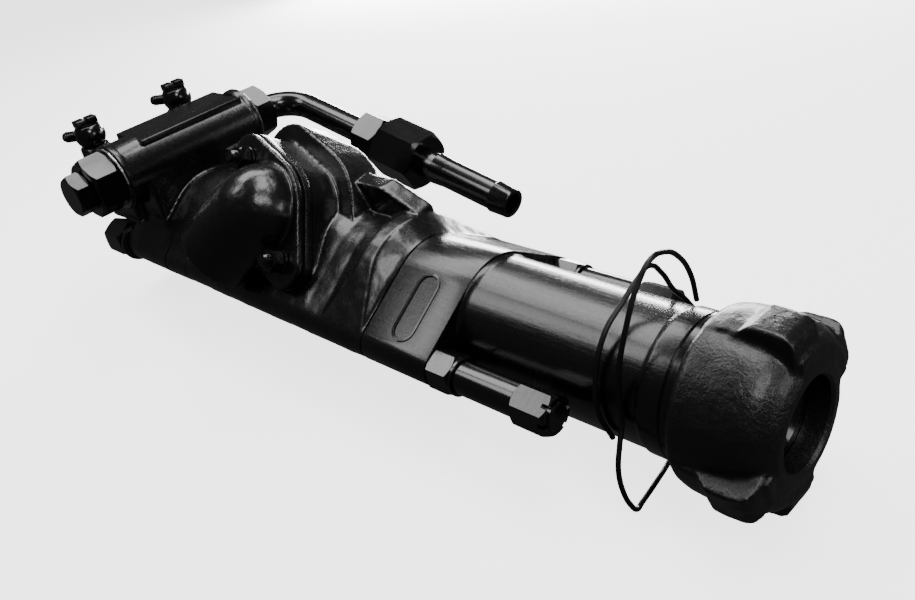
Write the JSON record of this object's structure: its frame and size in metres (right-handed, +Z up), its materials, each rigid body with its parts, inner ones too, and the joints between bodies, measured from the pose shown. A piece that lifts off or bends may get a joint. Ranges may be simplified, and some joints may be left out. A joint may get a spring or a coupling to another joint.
{
  "type": "pneumatic breaker hammer",
  "caption": "Hand-held compressed-air breaker body: lobed chisel cap, barrel, side-rodded cylinder, exhaust hood, throttle head and a swivelling gooseneck hose union.",
  "frame": {"origin": "middle of the footprint, on the surface the tool lies on", "axes": "+X along the barrel axis and out of the chisel cap, +Z up, +Y on the side of the gooseneck intake"},
  "size_m": [0.675, 0.2566, 0.1669],
  "materials": {
    "painted_casting": "gloss black enamel over a sand casting",
    "rough_casting": "semi-gloss black enamel over a rough casting",
    "painted_steel": "gloss black enamel over machined steel",
    "spring_wire": "black oiled spring wire",
    "bare_steel": "ground steel",
    "bronze": "turned bronze",
    "rubber": "matt",
    "gasket": "pressed gasket sheet",
    "plate": "painted over, no lettering"
  },
  "bodies": {
    "root": {"front_cap": "rough_casting", "cap_lock_ring": "painted_steel", "tool_bushing": "bare_steel", "buffer_ring": "rubber", "anvil_bushing": "bronze", "front_head": "painted_casting", "front_gasket": "gasket", "cylinder_casting": "painted_casting", "rear_gasket": "gasket", "backhead": "painted_casting", "blank_plate": "plate", "stem_bushing": "bronze", "cylinder_liner": "bare_steel", "valve_chest": "bare_steel", "valve_guide": "bare_steel", "side_rod_left": "painted_steel", "collar_nut_left": "painted_steel", "rod_washer_left": "painted_steel", "rod_sleeve_left": "painted_steel", "castle_nut_left": "painted_steel", "ball_washer_left": "painted_steel", "rear_nut_left": "painted_steel", "side_rod_right": "painted_steel", "collar_nut_right": "painted_steel", "rod_washer_right": "painted_steel", "rod_sleeve_right": "painted_steel", "castle_nut_right": "painted_steel", "ball_washer_right": "painted_steel", "rear_nut_right": "painted_steel", "exhaust_gasket": "gasket", "exhaust_spacer": "painted_casting", "exhaust_hood": "painted_casting", "hood_stud_front": "painted_steel", "hood_washer_front": "painted_steel", "hood_nut_front": "painted_steel", "hood_stud_rear": "painted_steel", "hood_washer_rear": "painted_steel", "hood_nut_rear": "painted_steel", "throttle_plug": "painted_steel", "plug_seal": "bare_steel", "adjuster_plug": "painted_steel", "throttle_spring": "bare_steel", "poppet_seat": "bronze", "swivel_nut": "painted_steel", "swivel_seal": "bare_steel", "swivel_packing": "rubber", "swing_pin_left": "painted_steel", "swing_pin_right": "painted_steel"},
    "piston": {"piston": "bare_steel"},
    "anvil": {"anvil": "bare_steel"},
    "air_valve": {"air_valve": "bare_steel"},
    "throttle_poppet": {"throttle_poppet": "bronze"},
    "gooseneck": {"gooseneck_pipe": "painted_steel", "union_body": "painted_steel", "union_nut": "painted_steel", "hose_nipple": "painted_steel", "inlet_strainer": "bronze"},
    "swing_bolt_left": {"swing_bolt_left": "painted_steel"},
    "swing_bolt_right": {"swing_bolt_right": "painted_steel"},
    "lock_wire": {"lock_wire": "spring_wire"}
  },
  "joints": [
    {"name": "intake_swivel", "type": "hinge", "parent": "root", "child": "gooseneck", "pos_m": [-0.2416, 0.102, 0.128], "axis": [0, 1, 0], "range_deg": [-150, 8]},
    {"name": "piston_stroke", "type": "slide", "parent": "root", "child": "piston", "axis": [1, 0, 0], "range_m": [-0.05, 0.045]},
    {"name": "anvil_play", "type": "slide", "parent": "root", "child": "anvil", "axis": [1, 0, 0], "range_m": [-0.014, 0.003]},
    {"name": "valve_flip", "type": "slide", "parent": "root", "child": "air_valve", "axis": [1, 0, 0], "range_m": [-0.004, 0.004]},
    {"name": "throttle_lift", "type": "slide", "parent": "root", "child": "throttle_poppet", "axis": [0, -1, 0], "range_m": [0, 0.01], "stiffness_N_per_m": 2500, "springref_m": -0.01, "deforming": ["throttle_spring"]},
    {"name": "swing_left", "type": "hinge", "parent": "root", "child": "swing_bolt_left", "pos_m": [-0.3136, -0.066, 0.149], "axis": [0, 0, 1], "range_deg": [-100, 100]},
    {"name": "swing_right", "type": "hinge", "parent": "root", "child": "swing_bolt_right", "pos_m": [-0.3136, 0.026, 0.149], "axis": [0, 0, 1], "range_deg": [-100, 100]},
    {"name": "wire_shift", "type": "slide", "parent": "root", "child": "lock_wire", "axis": [1, 0, 0], "range_m": [-0.008, 0.005]}
  ]
}
